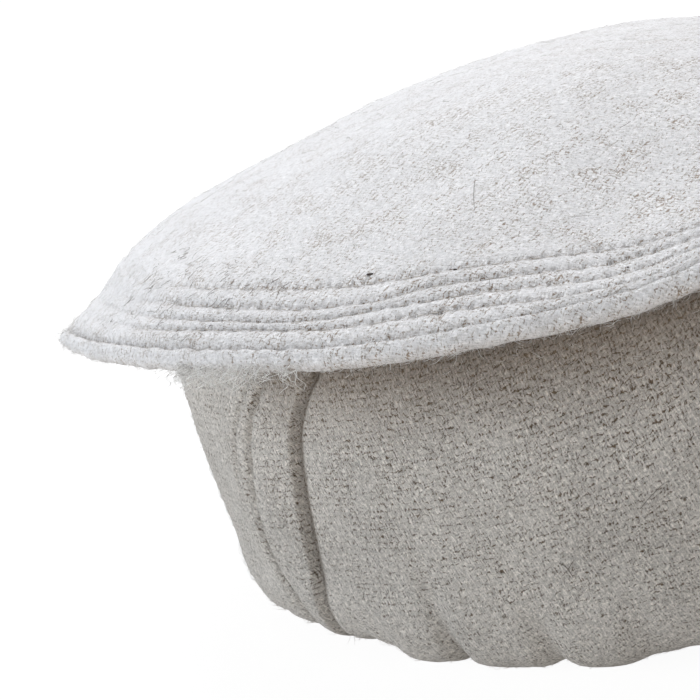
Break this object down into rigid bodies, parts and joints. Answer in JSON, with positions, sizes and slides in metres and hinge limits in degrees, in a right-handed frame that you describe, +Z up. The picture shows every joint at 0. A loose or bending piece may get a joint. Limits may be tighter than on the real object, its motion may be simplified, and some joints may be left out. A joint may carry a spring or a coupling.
{
  "type": "pakol hat",
  "caption": "Soft round cap of thick wool cloth: a domed crown with a stitched overhanging rim above a thick rolled band that fits round the head.",
  "frame": {"origin": "bottom centre of the bounding box, on the surface the cap rests on, on the axis of the head hollow", "axes": "+Z up along the axis of the head hollow, front along -Y where the rim waves up, +X to the right of the front"},
  "size_m": [0.278, 0.278, 0.1139],
  "materials": {
    "crown_wool": "felted off-white twill wool cloth, fuzzy, with grey-brown flecks",
    "wall_wool": "the same wool cloth, inner side",
    "band_wool": "coarse oatmeal twill wool cloth, rolled up"
  },
  "bodies": {
    "root": {"crown": "crown_wool", "head_wall": "wall_wool", "rolled_band": "band_wool"}
  },
  "joints": []
}
